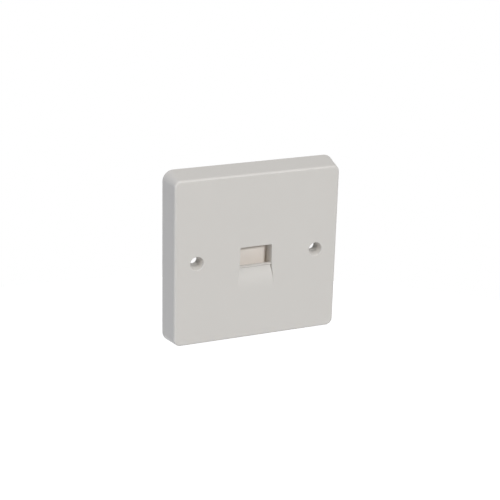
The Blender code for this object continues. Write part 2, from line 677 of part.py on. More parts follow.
def screws(finish):
    """Two screws hold the housing to the faceplate and two hold the board to the housing."""
    ear_seat = BODY_FRONT_Y + EAR_THICKNESS
    for side, x in zip(("left", "right"), both_sides(EAR_X, OPENING_X)):
        screw(f"housing_screw_{side}", x, CAVITY_MIDDLE, ear_seat, SCREW_LENGTH, finish)
    for side, x in zip(("left", "right"), both_sides(BOARD_SCREW_OFFSET, OPENING_X)):
        screw(f"board_screw_{side}", x, BOARD_SCREW_Z, BOARD_BACK_Y, BOARD_SCREW_LENGTH, finish)


def build():
    """Models the whole socket."""
    clear_scene()
    white = material("warm_white_plastic", (0.78, 0.765, 0.72), 0.45)
    cream = material("cream_plastic", (0.74, 0.66, 0.56), 0.5)
    grey = material("grey_plastic", (0.32, 0.33, 0.34), 0.5)
    green = material("board_green", (0.03, 0.16, 0.08), 0.4)
    gold = material("gold_plating", (0.83, 0.61, 0.25), 0.3, 1.0)
    steel = material("plated_steel", (0.62, 0.62, 0.6), 0.35, 1.0)
    faceplate(white)
    shutter(cream)
    shutter_spring(steel)
    jack_housing(grey)
    contacts(gold)
    circuit_board(green)
    terminal_block("idc_block_upper", 1, white)
    terminal_block("idc_block_lower", -1, white)
    blades(steel)
    screws(steel)


build()
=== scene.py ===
import math

import bmesh
import bpy
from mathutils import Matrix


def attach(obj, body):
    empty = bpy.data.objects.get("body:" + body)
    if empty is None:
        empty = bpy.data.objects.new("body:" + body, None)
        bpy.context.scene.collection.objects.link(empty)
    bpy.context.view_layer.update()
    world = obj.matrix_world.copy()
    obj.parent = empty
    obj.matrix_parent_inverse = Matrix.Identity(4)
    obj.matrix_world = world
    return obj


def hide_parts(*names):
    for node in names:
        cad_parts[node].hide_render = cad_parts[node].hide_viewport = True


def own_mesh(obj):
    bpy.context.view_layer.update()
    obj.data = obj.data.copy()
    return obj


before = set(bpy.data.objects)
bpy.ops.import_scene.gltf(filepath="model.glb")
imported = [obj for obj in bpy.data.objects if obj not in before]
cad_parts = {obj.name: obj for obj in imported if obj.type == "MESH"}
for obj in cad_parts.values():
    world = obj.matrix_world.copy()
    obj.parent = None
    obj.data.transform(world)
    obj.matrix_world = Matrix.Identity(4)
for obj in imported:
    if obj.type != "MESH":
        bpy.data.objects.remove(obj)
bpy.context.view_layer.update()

# The faceplate is one moulding in warm white plastic, 86 mm square and 12 mm deep, with an open back.
# Its sides lean in by 2 mm so that it leaves the mould, and its front edge is rounded. The ribs, the
# screw bosses and the shutter's guide are moulded on the back of its 2.5 mm front wall.
seat_gap = 0.0003
past, bite = 0.001, 0.0005  # how far cuts run past a piece, and joined shapes reach into each other
plate_half = 0.043
plate_corner = 0.0052
plate_lean = 0.002
face = -0.012
edge_round = 0.0012
wall_back = -0.0095
wall_lean = plate_lean * wall_back / face
side_wall = 0.002
opening_x = -0.0005
opening_half = 0.008
opening_top = 0.0052
opening_bottom = -0.0045
panel_front = -0.0051
panel_back = -0.0037
panel_half = opening_half + 0.0007
panel_top = opening_top + 0.001
guide_back = panel_back + 0.0015
guide_wall = seat_gap + 0.0012
guide_floor = 0.0012
seat = -0.024
fixing_x = 0.03015


def let_go():
    """Leaves edit mode and selects nothing."""
    if bpy.context.object and bpy.context.object.mode == "EDIT":
        bpy.ops.object.mode_set(mode="OBJECT")
    bpy.ops.object.select_all(action="DESELECT")


def place(name):
    """Puts the place of the shape just added in its mesh, and opens it in edit mode, all selected."""
    shape = bpy.context.object
    shape.name = shape.data.name = name
    bpy.ops.object.transform_apply(location=True, rotation=True, scale=True)
    bpy.ops.object.mode_set(mode="EDIT")
    bpy.ops.mesh.select_all(action="SELECT")
    return shape


def bar(name, low, high):
    """Starts a straight block between two corners."""
    let_go()
    middle = [(a + b) / 2 for a, b in zip(low, high)]
    size = [b - a for a, b in zip(low, high)]
    bpy.ops.mesh.primitive_cube_add(size=1, location=middle, scale=size)
    return place(name)


def sheet_to_front(name, low, high, corner, segments):
    """Starts a flat outline that faces the front, with its four corners rounded."""
    let_go()
    (x0, y, z0), (x1, z1) = low, high
    middle = ((x0 + x1) / 2, y, (z0 + z1) / 2)
    bpy.ops.mesh.primitive_plane_add(size=z1 - z0, location=middle, rotation=(math.pi / 2, 0, 0))
    shape = place(name)
    bpy.ops.transform.resize(value=((x1 - x0) / (z1 - z0), 1, 1), center_override=middle)
    bpy.ops.mesh.bevel(offset=corner, segments=segments, affect="VERTICES")
    bpy.ops.mesh.select_all(action="SELECT")
    return shape


def turned(name, x, z, profile, sides=48):
    """Starts a round shape along Y: a disc extruded and widened from one (radius, y) to the next."""
    let_go()
    radius, y = profile[0]
    bpy.ops.mesh.primitive_circle_add(vertices=sides, radius=radius, fill_type="NGON",
                                      location=(x, y, z), rotation=(math.pi / 2, 0, 0))
    shape = place(name)
    for wider, further in profile[1:]:
        bpy.ops.mesh.extrude_region_move(TRANSFORM_OT_translate={"value": (0, further - y, 0)})
        bpy.ops.transform.resize(value=(wider / radius, 1, wider / radius),
                                 center_override=(x, further, z))
        radius, y = wider, further
    bpy.ops.mesh.select_all(action="SELECT")
    bpy.ops.mesh.normals_make_consistent(inside=False)
    return shape


def pick(kind, test):
    """Selects the corners, edges or faces of the shape in edit mode that pass the test."""
    bpy.ops.mesh.select_all(action="DESELECT")
    bpy.ops.mesh.select_mode(type=kind)
    mesh = bpy.context.object.data
    shape = bmesh.from_edit_mesh(mesh)
    for part in {"VERT": shape.verts, "EDGE": shape.edges, "FACE": shape.faces}[kind]:
        part.select_set(bool(test(part)))
    shape.select_flush_mode()
    bmesh.update_edit_mesh(mesh)


def level(part, axis, at):
    """Whether every corner of an edge or face lies at one place along an axis."""
    return all(abs(corner.co[axis] - at) < 1e-6 for corner in part.verts)


def soften(test, radius, segments=3):
    """Rounds the edges that pass the test."""
    pick("EDGE", test)
    bpy.ops.mesh.bevel(offset=radius, segments=segments, affect="EDGES")


def hold(piece):
    """Selects one piece alone."""
    let_go()
    piece.select_set(True)
    bpy.context.view_layer.objects.active = piece


def mould(piece, tool, operation):
    """Joins a tool shape to the piece, or cuts it out, and throws the tool away."""
    hold(piece)
    change = piece.modifiers.new(tool.name, "BOOLEAN")
    change.operation = operation
    change.solver = "EXACT"
    change.object = tool
    bpy.ops.object.modifier_apply(modifier=change.name)
    bpy.data.objects.remove(tool)


def finished(piece, node, body, finish, smooth=35):
    """Shades the piece, gives it its material, and lets it stand for its CAD node."""
    hold(piece)
    bpy.ops.object.shade_smooth_by_angle(angle=math.radians(smooth))
    piece.modifiers.new("even_shading", "WEIGHTED_NORMAL").keep_sharp = True
    bpy.ops.object.modifier_apply(modifier="even_shading")
    piece.data.materials.clear()
    piece.data.materials.append(finish)
    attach(piece, body)
    if node:
        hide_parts(node)


def moulded(name, colour, roughness, tone=0.012, grain=0.00002):
    """Injection-moulded plastic: a faint cloud in its colour, and the fine skin of the mould."""
    made = bpy.data.materials.new(name)
    made.use_nodes = True
    nodes, links = made.node_tree.nodes, made.node_tree.links
    shader = nodes["Principled BSDF"]
    shader.inputs["IOR"].default_value = 1.5
    where = nodes.new("ShaderNodeTexCoord")
    cloud = nodes.new("ShaderNodeTexNoise")
    cloud.inputs["Scale"].default_value = 60
    cloud.inputs["Detail"].default_value = 3
    links.new(where.outputs["Object"], cloud.inputs["Vector"])
    tint = nodes.new("ShaderNodeMix")
    tint.data_type = "RGBA"
    tint.inputs["A"].default_value = (*[c * (1 - tone) for c in colour], 1)
    tint.inputs["B"].default_value = (*[min(c * (1 + tone), 1) for c in colour], 1)
    links.new(cloud.outputs["Fac"], tint.inputs["Factor"])
    links.new(tint.outputs["Result"], shader.inputs["Base Color"])
    skin = nodes.new("ShaderNodeTexNoise")
    skin.inputs["Scale"].default_value = 2600
    skin.inputs["Detail"].default_value = 4
    links.new(where.outputs["Object"], skin.inputs["Vector"])
    gloss = nodes.new("ShaderNodeMapRange")
    gloss.inputs["To Min"].default_value = roughness - 0.05
    gloss.inputs["To Max"].default_value = roughness + 0.05
    links.new(skin.outputs["Fac"], gloss.inputs["Value"])
    links.new(gloss.outputs["Result"], shader.inputs["Roughness"])
    bump = nodes.new("ShaderNodeBump")
    bump.inputs["Strength"].default_value = 0.25
    bump.inputs["Distance"].default_value = grain
    links.new(skin.outputs["Fac"], bump.inputs["Height"])
    links.new(bump.outputs["Normal"], shader.inputs["Normal"])
    return made


warm_white = moulded("warm_white_plastic", (0.62, 0.595, 0.565), 0.5)

corner_steps, round_steps = 16, 6
plate = sheet_to_front("moulded_faceplate", (-plate_half, 0, -plate_half), (plate_half, plate_half),
                       plate_corner, corner_steps)
shoulder = face + edge_round
bpy.ops.mesh.inset(thickness=plate_lean * shoulder / face, depth=-shoulder)
for step in range(round_steps):
    near, far = (math.pi / 2 * k / round_steps for k in (step, step + 1))
    bpy.ops.mesh.inset(thickness=edge_round * (math.cos(near) - math.cos(far)),
                       depth=edge_round * (math.sin(far) - math.sin(near)))
pick("EDGE", lambda edge: edge.is_boundary)
bpy.ops.mesh.edge_face_add()
bpy.ops.mesh.select_all(action="SELECT")
bpy.ops.mesh.normals_make_consistent(inside=False)
pick("FACE", lambda side: level(side, 1, 0))
bpy.ops.mesh.inset(thickness=side_wall)
bpy.ops.mesh.inset(thickness=wall_lean, depth=wall_back)

root = wall_back - bite
back_round = 0.0002
guide = bar("guide", (opening_x - panel_half - guide_wall, root, seat - guide_floor),
            (opening_x + panel_half + guide_wall, guide_back, panel_top + guide_wall))
soften(lambda edge: level(edge, 1, guide_back), back_round)
mould(plate, guide, "UNION")

boss, boss_back = 0.0046, face + 0.007
profile = [(boss, root), (boss, boss_back - back_round), (boss - back_round, boss_back)]
for x in (-fixing_x, fixing_x):
    mould(plate, turned("fixing_boss", x, 0, profile), "UNION")
jack_drop = 0.00065
plug_middle = (opening_top + opening_bottom) / 2 - jack_drop
ear_x, ear_boss = 0.0127, 0.0029
profile = [(ear_boss, root), (ear_boss, guide_back)]
for x in (opening_x - ear_x, opening_x + ear_x):
    mould(plate, turned("housing_boss", x, plug_middle, profile), "UNION")

rib, rib_x, rib_back = 0.0005, 0.0055, wall_back + 0.0025
far_side = plate_half - side_wall - wall_lean + 2 * bite
boss_edge = fixing_x + boss - bite
ribs = [((side * boss_edge, -rib), (side * far_side, rib)) for side in (-1, 1)]
for x in (opening_x - rib_x, opening_x + rib_x):
    ribs.append(((x - rib, panel_top + guide_wall - bite), (x + rib, far_side)))
    ribs.append(((x - rib, -far_side), (x + rib, seat - guide_floor + bite)))
for (x0, z0), (x1, z1) in ribs:
    strip = bar("rib", (min(x0, x1), root, z0), (max(x0, x1), rib_back, z1))
    soften(lambda edge: level(edge, 1, rib_back), back_round)
    mould(plate, strip, "UNION")

wide = panel_half + seat_gap
mould(plate, bar("panel_room", (opening_x - wide, panel_front - seat_gap, seat),
                 (opening_x + wide, guide_back + past, panel_top + seat_gap)), "DIFFERENCE")
mould(plate, bar("shelf_room", (opening_x - opening_half, wall_back, seat),
                 (opening_x + opening_half, panel_front, opening_top)), "DIFFERENCE")

opening_corner, opening_tall = 0.0004, (opening_top - opening_bottom) / 2
lip_round, lip_steps = 0.00015, 3
cut_start = wall_back + bite
opening = sheet_to_front("opening", (opening_x - opening_half, cut_start, opening_bottom),
                         (opening_x + opening_half, opening_top), opening_corner, 6)
bpy.ops.mesh.extrude_region_move(TRANSFORM_OT_translate={"value": (0, face + lip_round - cut_start, 0)})
mouth = (opening_x, face, (opening_top + opening_bottom) / 2)
grown = 0.0
for step in range(lip_steps):
    near, far = (math.pi / 2 * k / lip_steps for k in (step, step + 1))
    rise = lip_round * (math.sin(far) - math.sin(near))
    out = lip_round * (1 - math.cos(far))
    bpy.ops.mesh.extrude_region_move(TRANSFORM_OT_translate={"value": (0, -rise, 0)})
    bpy.ops.transform.resize(value=((opening_half + out) / (opening_half + grown), 1,
                                    (opening_tall + out) / (opening_tall + grown)), center_override=mouth)
    grown = out
bpy.ops.mesh.extrude_region_move(TRANSFORM_OT_translate={"value": (0, -past, 0)})
bpy.ops.mesh.select_all(action="SELECT")
bpy.ops.mesh.normals_make_consistent(inside=False)
mould(plate, opening, "DIFFERENCE")

# The finger scoop starts under the opening's rounded bottom edge, dips steeply to 1.7 mm deep, and runs
# out smoothly into the face below. It is cut from the same moulding, with a shape set level by level.
scoop_deep, scoop_long = 0.0017, 0.0108
scoop_half = opening_half + 0.0003
foot_wider, floor_narrower, front_wider = 0.0009, 0.0003, 0.0002
scoop_top = opening_bottom + 0.0009
scoop_deepest = opening_bottom - 0.0012
brow = [(0, 0.75), (0.05, 0.55), (0.14, 0.41), (0.25, 0.33), (0.32, 0.32), (0.4, 0.4), (0.7, 0.83),
        (1.0, 1.27)]  # mm down from the opening's bottom edge, and mm deep
levels = [(scoop_top, 0, 0.0005)]
for drop, deep in brow:
    levels.append((opening_bottom - drop / 1000, 0, deep / 1000))
run_out_steps = 24
for step in range(run_out_steps + 1):
    along = step / run_out_steps
    deep = scoop_deep * max((1 - along) ** 2, 0.01)
    levels.append((scoop_deepest - scoop_long * along, along, deep))
scoop = bar("scoop", (opening_x - opening_half, face - past, levels[-1][0]),
            (opening_x + opening_half, face + scoop_deep, scoop_top))
for z, _, _ in levels[1:-1]:
    bpy.ops.mesh.select_all(action="SELECT")
    bpy.ops.mesh.bisect(plane_co=(0, 0, z), plane_no=(0, 0, 1))
for z, along, deep in levels:
    half = scoop_half + foot_wider * math.sin(math.pi / 2 * along)
    pick("VERT", lambda corner: abs(corner.co.z - z) < 1e-6 and corner.co.y > face)
    bpy.ops.transform.translate(value=(0, deep - scoop_deep, 0))
    inner = (half - floor_narrower * deep / scoop_deep) / opening_half
    bpy.ops.transform.resize(value=(inner, 1, 1), center_override=(opening_x, face, z))
    pick("VERT", lambda corner: abs(corner.co.z - z) < 1e-6 and corner.co.y < face)
    outer = (half + front_wider) / opening_half
    bpy.ops.transform.resize(value=(outer, 1, 1), center_override=(opening_x, face, z))
mould(plate, scoop, "DIFFERENCE")

# The two fixing holes are countersunk for M3.5 screws, with softly rounded mouths. The screws aren't
# fitted, so the holes are open right through.
head, bore, sink = 0.0034, 0.0022, 0.0026
mouth_round, mouth_steps = 0.00035, 6
bend = math.pi / 2 - math.atan((head - bore) / sink)
widest = head + mouth_round * math.tan(bend / 2)
profile = [(widest + past, face - past), (widest, face)]
for step in range(1, mouth_steps + 1):
    turn = bend * step / mouth_steps
    profile.append((widest - mouth_round * math.sin(turn), face + mouth_round * (1 - math.cos(turn))))
cone_end = face + sink
profile += [(bore + 0.0001, cone_end - 0.0002), (bore, cone_end + 0.0001), (bore, boss_back + past)]
for x in (-fixing_x, fixing_x):
    mould(plate, turned("fixing_hole", x, 0, profile), "DIFFERENCE")

# The faceplate's back is finished with two blind holes for the jack housing's screws, and with the
# round peg on the guide's seat that keeps the shutter's spring in place.
screw_hole, ear_screw, ear_thick = 0.0015, 0.007, 0.0022
peg_radius, peg_long = 0.0012, 0.002
spring_y = (wall_back + seat_gap + panel_back) / 2


def drill(piece, name, x, z, start, end):
    """Cuts a straight hole for one of the small screws."""
    mould(piece, turned(name, x, z, [(screw_hole, start), (screw_hole, end)], 32), "DIFFERENCE")


def peg(name, z):
    """Starts a round peg that the spring's end fits over."""
    let_go()
    bpy.ops.mesh.primitive_cylinder_add(vertices=32, radius=peg_radius, depth=peg_long,
                                        location=(opening_x, spring_y, z))
    return place(name)


pilot_end = guide_back + seat_gap + ear_thick - ear_screw
for x in (opening_x - ear_x, opening_x + ear_x):
    drill(plate, "screw_pilot", x, plug_middle, guide_back + past, pilot_end)
mould(plate, peg("seat_peg", seat + bite), "UNION")
finished(plate, "faceplate", "socket", warm_white)

# The shutter is a cream sliding panel with a shelf at its foot, all one moulding. It slides down behind
# the scoop when a plug's nose pushes it, and the spring under its shelf lifts it again.
cream = moulded("cream_plastic", (0.805, 0.74, 0.68), 0.46)
panel_bottom = opening_bottom - 0.004
panel_round = 0.00015
shelf_front, shelf_half = wall_back + seat_gap, opening_half - seat_gap
shelf_thick, shelf_round = 0.0012, 0.0003
slider = bar("moulded_shutter", (opening_x - panel_half, panel_front, panel_bottom),
             (opening_x + panel_half, panel_back, panel_top))
soften(lambda edge: level(edge, 1, panel_front) or level(edge, 1, panel_back), panel_round)
shelf = bar("shelf", (opening_x - shelf_half, shelf_front, panel_bottom),
            (opening_x + shelf_half, panel_front + bite, panel_bottom + shelf_thick))
soften(lambda edge: level(edge, 1, shelf_front), shelf_round)
mould(slider, shelf, "UNION")
mould(slider, peg("shutter_peg", panel_bottom - bite), "UNION")
finished(slider, "shutter", "shutter", cream)

# The return spring is wound from bright 0.4 mm steel wire, eight turns, and stands round the peg on the
# guide's seat and the peg on the shutter's foot. In the socket it is pressed together as the shutter
# slides down; here it is wound at its length with the shutter up.
wire, coil, turns = 0.0002, 0.002, 8
spring_foot = seat + seat_gap + wire
spring_head = panel_bottom - seat_gap - wire


def metal(name, colour, roughness, stretch=(1, 1, 1)):
    """Drawn, rolled or plated metal: faint lines in its colour and its gloss."""
    made = bpy.data.materials.new(name)
    made.use_nodes = True
    nodes, links = made.node_tree.nodes, made.node_tree.links
    shader = nodes["Principled BSDF"]
    shader.inputs["Metallic"].default_value = 1
    where = nodes.new("ShaderNodeTexCoord")
    drawn = nodes.new("ShaderNodeMapping")
    drawn.inputs["Scale"].default_value = stretch
    links.new(where.outputs["Object"], drawn.inputs["Vector"])
    lines = nodes.new("ShaderNodeTexNoise")
    lines.inputs["Scale"].default_value = 1500
    lines.inputs["Detail"].default_value = 3
    links.new(drawn.outputs["Vector"], lines.inputs["Vector"])
    tint = nodes.new("ShaderNodeMix")
    tint.data_type = "RGBA"
    tint.inputs["A"].default_value = (*[c * 0.88 for c in colour], 1)
    tint.inputs["B"].default_value = (*[min(c * 1.1, 1) for c in colour], 1)
    links.new(lines.outputs["Fac"], tint.inputs["Factor"])
    links.new(tint.outputs["Result"], shader.inputs["Base Color"])
    gloss = nodes.new("ShaderNodeMapRange")
    gloss.inputs["To Min"].default_value = roughness - 0.1
    gloss.inputs["To Max"].default_value = roughness + 0.1
    links.new(lines.outputs["Fac"], gloss.inputs["Value"])
    links.new(gloss.outputs["Result"], shader.inputs["Roughness"])
    return made


steel = metal("plated_steel", (0.62, 0.62, 0.6), 0.32)
let_go()
bpy.ops.mesh.primitive_circle_add(vertices=10, radius=wire, rotation=(math.pi / 2, 0, 0))
spring = place("coil_spring")
bpy.ops.transform.translate(value=(coil, 0, 0))
hold(spring)
winding = spring.modifiers.new("winding", "SCREW")
winding.screw_offset = (spring_head - spring_foot) / turns
winding.iterations = turns
winding.steps = winding.render_steps = 32
bpy.ops.object.modifier_apply(modifier="winding")
bpy.ops.object.mode_set(mode="EDIT")
bpy.ops.mesh.select_all(action="SELECT")
bpy.ops.transform.translate(value=(opening_x, spring_y, spring_foot))
pick("EDGE", lambda edge: edge.is_boundary)
bpy.ops.mesh.fill_holes(sides=0)
bpy.ops.mesh.select_all(action="SELECT")
bpy.ops.mesh.normals_make_consistent(inside=False)
finished(spring, "shutter_spring", "socket", steel, 50)
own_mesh(spring)

# The jack housing is a dark grey moulding. Its nose reaches into the guide behind the shutter, its
# cavity takes the plug, a comb above the cavity keeps the contacts apart, and its two ears are screwed
# to the faceplate's bosses.
grey = moulded("grey_plastic", (0.3, 0.31, 0.33), 0.5)
body_front = guide_back + seat_gap
body_back = body_front + 0.0115
body_half = 0.0097
cavity_half, cavity_tall, cavity_back = 0.0073, 0.0044, body_back - 0.0014
body_top = plug_middle + cavity_tall + 0.0035
body_bottom = plug_middle - cavity_tall - 0.0036
nose_front, nose_wall = panel_back + seat_gap, 0.0016
ear_back, ear_tall = body_front + ear_thick, 0.004
latch_front, latch_back = body_front + 0.0006, body_front + 0.0036
latch_deep, latch_tall = 0.001, 0.0025
contact_thick, contact_half, contact_bend = 0.0003, 0.00035, 0.001
contact_top = plug_middle + cavity_tall + 2 * contact_bend + contact_thick
contact_pitch = 0.0016
bay_top = contact_top + seat_gap
bay_front = body_front + 0.0024
bay_half = 2.5 * contact_pitch + contact_half + seat_gap
tooth_half, tooth_tall = 0.00015, 0.0009
board_back = body_back + seat_gap + 0.0016
board_screw, board_screw_x = 0.0055, 0.005
board_screw_z = (plug_middle - cavity_tall + body_bottom) / 2


def block_along(name, low, high, corner, ease=0.0):
    """Starts a block whose edges along Y are rounded, and eases the edges round its two ends."""
    shape = sheet_to_front(name, low, (high[0], high[2]), corner, 5)
    bpy.ops.mesh.extrude_region_move(TRANSFORM_OT_translate={"value": (0, high[1] - low[1], 0)})
    bpy.ops.mesh.select_all(action="SELECT")
    bpy.ops.mesh.normals_make_consistent(inside=False)
    if ease:
        soften(lambda edge: level(edge, 1, low[1]) or level(edge, 1, high[1]), ease, 2)
    return shape


housing = block_along("moulded_housing", (opening_x - body_half, body_front, body_bottom),
                      (opening_x + body_half, body_back, body_top), 0.0006, 0.0002)
nose = block_along("nose", (opening_x - panel_half, nose_front, opening_bottom - nose_wall),
                   (opening_x + panel_half, body_front + bite, panel_top), 0.0002)
mould(housing, nose, "UNION")
ear_reach = ear_x + ear_boss
ears = block_along("ears", (opening_x - ear_reach, body_front, plug_middle - ear_tall),
                   (opening_x + ear_reach, ear_back, plug_middle + ear_tall), ear_boss, 0.00015)
mould(housing, ears, "UNION")
cavity = block_along("cavity", (opening_x - cavity_half, nose_front - past, plug_middle - cavity_tall),
                     (opening_x + cavity_half, cavity_back, plug_middle + cavity_tall), 0.0006)
mould(housing, cavity, "DIFFERENCE")
latch = bar("latch_pocket", (opening_x, latch_front, plug_middle - latch_tall),
            (opening_x + cavity_half + latch_deep, latch_back, plug_middle + latch_tall))
mould(housing, latch, "DIFFERENCE")
bay = bar("contact_bay", (opening_x - bay_half, bay_front, plug_middle + cavity_tall - bite),
          (opening_x + bay_half, body_back + past, bay_top))
mould(housing, bay, "DIFFERENCE")
for gap in range(-2, 3):
    x = opening_x + gap * contact_pitch
    tooth = bar("comb_tooth", (x - tooth_half, bay_front - bite, bay_top - tooth_tall),
                (x + tooth_half, body_back, bay_top + bite))
    mould(housing, tooth, "UNION")
for side in (-1, 1):
    drill(housing, "ear_hole", opening_x + side * ear_x, plug_middle, ear_back + past, body_front - past)
    drill(housing, "pilot", opening_x + side * board_screw_x, board_screw_z, body_back + past,
          board_back - board_screw)
finished(housing, "jack_housing", "socket", grey)

# Six contact springs are bent from gold-plated bronze strip. Each lies in a slot of the housing's comb,
# turns over at the front and leans down into the cavity. Its tail is soldered to the board.
gold = metal("gold_plating", (0.83, 0.61, 0.25), 0.28, (1, 0.15, 0.15))
contact_tail = contact_top - contact_thick / 2
contact_lean, contact_arm = math.radians(28), 0.006
tail_proud, strip_ease = 0.0014, 0.00004
bend_y = bay_front + seat_gap + contact_thick / 2 + contact_bend


def ease_edges(piece, width):
    """Takes the sharpness off every edge of a piece."""
    hold(piece)
    edges = piece.modifiers.new("eased", "BEVEL")
    edges.width = width
    edges.segments = 2
    edges.angle_limit = math.radians(50)
    bpy.ops.object.modifier_apply(modifier="eased")


def copied(piece, name, shift):
    """A copy of a finished shape, moved, with a mesh of its own."""
    hold(piece)
    bpy.ops.object.duplicate(linked=False)
    twin = bpy.context.object
    twin.name = twin.data.name = name
    bpy.ops.object.mode_set(mode="EDIT")
    bpy.ops.mesh.select_all(action="SELECT")
    bpy.ops.transform.translate(value=shift)
    let_go()
    return twin


first = opening_x - 2.5 * contact_pitch
strip = bar("contact_1", (first - contact_half, bend_y, contact_tail - contact_thick / 2),
            (first + contact_half, board_back + tail_proud, contact_top))
pick("FACE", lambda side: level(side, 1, bend_y))
bpy.ops.mesh.spin(steps=10, angle=math.pi - contact_lean, axis=(1, 0, 0),
                  center=(first, bend_y, contact_tail - contact_bend))
bpy.ops.mesh.extrude_region_move(TRANSFORM_OT_translate={
    "value": (0, contact_arm * math.cos(contact_lean), -contact_arm * math.sin(contact_lean))})
bpy.ops.mesh.select_all(action="SELECT")
bpy.ops.mesh.remove_doubles(threshold=1e-6)
bpy.ops.mesh.normals_make_consistent(inside=False)
ease_edges(strip, strip_ease)
contacts = [strip] + [copied(strip, f"contact_{n + 1}", (n * contact_pitch, 0, 0)) for n in range(1, 6)]
for number, contact in enumerate(contacts, start=1):
    finished(contact, f"contact_spring_{number}", "socket", gold)

# The circuit board is green-lacquered glass laminate, 1.6 mm thick, screwed to the back of the housing.
# Copper tracks under the lacquer join each contact to one terminal, and bright solder holds the tails.
green = moulded("board_green", (0.02, 0.13, 0.06), 0.3, 0.08, 0.000004)
covered_copper = moulded("covered_copper", (0.06, 0.3, 0.1), 0.25, 0.08, 0.000004)
solder = metal("tin_solder", (0.66, 0.67, 0.68), 0.22)
board_front = body_back + seat_gap
board_half, board_tall = 0.011, 0.0207
way_pitch, block_away = 0.005, 0.0137
tail_hole = 0.00065
ways = [(opening_x + way * way_pitch, plug_middle + side * block_away)
        for side in (1, -1) for way in (-1, 0, 1)]
tails = [(first + n * contact_pitch, contact_tail) for n in range(6)]
board = block_along("laminate", (opening_x - board_half, board_front, plug_middle - board_tall),
                    (opening_x + board_half, board_back, plug_middle + board_tall), 0.001, 0.00008)
profile = [(tail_hole, board_front - past), (tail_hole, board_back + past)]
for x, z in tails + ways:
    mould(board, turned("tail_hole", x, z, profile, 24), "DIFFERENCE")
for side in (-1, 1):
    drill(board, "screw_hole", opening_x + side * board_screw_x, board_screw_z, board_front - past,
          board_back + past)
finished(board, "circuit_board", "socket", green)

track_half, copper = 0.00025, 0.00004
solder_reach, track_straight, track_turn = 0.0008, 0.001, -0.0095
up, down = contact_tail + solder_reach, contact_tail - solder_reach
lanes = []
for tail, way, climb in ((0, 0, 0.002), (2, 1, 0.0018), (5, 2, 0.002)):
    x, (end, top) = tails[tail][0], ways[way]
    lanes.append([(x, up), (x, up + track_straight), (end, up + climb), (end, top)])
for tail, way, lane in ((1, 3, -0.0016), (3, 4, 0.0), (4, 5, 0.0016)):
    x, (end, bottom) = tails[tail][0], ways[way]
    middle = opening_x + lane
    lanes.append([(x, down), (x, down - track_straight), (middle, down - track_straight - abs(middle - x)),
                  (middle, track_turn), (end, track_turn - abs(end - middle)), (end, bottom)])


def joined(shapes, name):
    """Joins separate shapes in one piece."""
    let_go()
    for shape in shapes:
        shape.select_set(True)
    bpy.context.view_layer.objects.active = shapes[0]
    bpy.ops.object.join()
    shapes[0].name = name
    return shapes[0]


strips = []
for lane in lanes:
    (x, z), (_, z1) = lane[:2]
    strips.append(bar("track", (x - track_half, board_back, min(z, z1)),
                      (x + track_half, board_back + copper, max(z, z1))))
    for (x0, z0), (x1, z1) in zip(lane[1:], lane[2:]):
        pick("FACE", lambda side: level(side, 2, z0))
        bpy.ops.mesh.extrude_region_move(TRANSFORM_OT_translate={"value": (x1 - x0, 0, z1 - z0)})
tracks = joined(strips, "copper_tracks")
finished(tracks, None, "socket", covered_copper)


def joint_of_solder(x, z, foot, tall, top):
    """Starts a ring of solder that climbs a tail from the board, to a height along Y."""
    outline = [(0.00072, 0), (0.0007, 0.05), (0.00056, 0.25), (0.00045, 0.55), (top, 0.9), (top * 0.6, 1)]
    return turned("solder", x, z, [(radius, foot + tall * share) for radius, share in outline], 24)


rings = [joint_of_solder(x, z, board_back, 0.001, 0.0004) for x, z in tails]
rings += [joint_of_solder(x, z, board_front, -0.0006, 0.00042) for x, z in ways]
joints = joined(rings, "solder_joints")
finished(joints, None, "socket", solder, 60)

# The two wire terminal blocks are moulded in the faceplate's white plastic. Each has three ways: a slot
# with a flared mouth for the wire, crossed by the pocket that its blade stands in.
block_base = board_back + seat_gap
block_end = block_base + 0.008
block_half, block_wide = 0.0082, 0.0035
slot_half, slot_deep = 0.00065, 0.005
flare_deep, slot_flare, slit_flare = 0.0006, 3.46, 5
blade_half, blade_thick = 0.0017, 0.0005
middle = ways[0][1]
terminals = block_along("terminals_upper", (opening_x - block_half, block_base, middle - block_wide),
                        (opening_x + block_half, block_end, middle + block_wide), 0.0006, 0.0002)
for x, z in ways[:3]:
    slot = bar("wire_slot", (x - slot_half, block_end - slot_deep, z - 2 * block_wide),
               (x + slot_half, block_end + past, z + 2 * block_wide))
    bpy.ops.mesh.bisect(plane_co=(0, block_end - flare_deep, 0), plane_no=(0, 1, 0))
    pick("VERT", lambda corner: corner.co.y > block_end)
    bpy.ops.transform.resize(value=(slot_flare, 1, 1), center_override=(x, block_end, z))
    mould(terminals, slot, "DIFFERENCE")
    wide, thick = blade_half + seat_gap, blade_thick / 2 + seat_gap
    pocket = bar("pocket", (x - wide, block_base - past, z - thick),
                 (x + wide, block_end + past, z + thick))
    mould(terminals, pocket, "DIFFERENCE")
lower = copied(terminals, "terminals_lower", (0, 0, -2 * block_away))
for piece, node in ((terminals, "idc_block_upper"), (lower, "idc_block_lower")):
    finished(piece, node, "socket", warm_white)

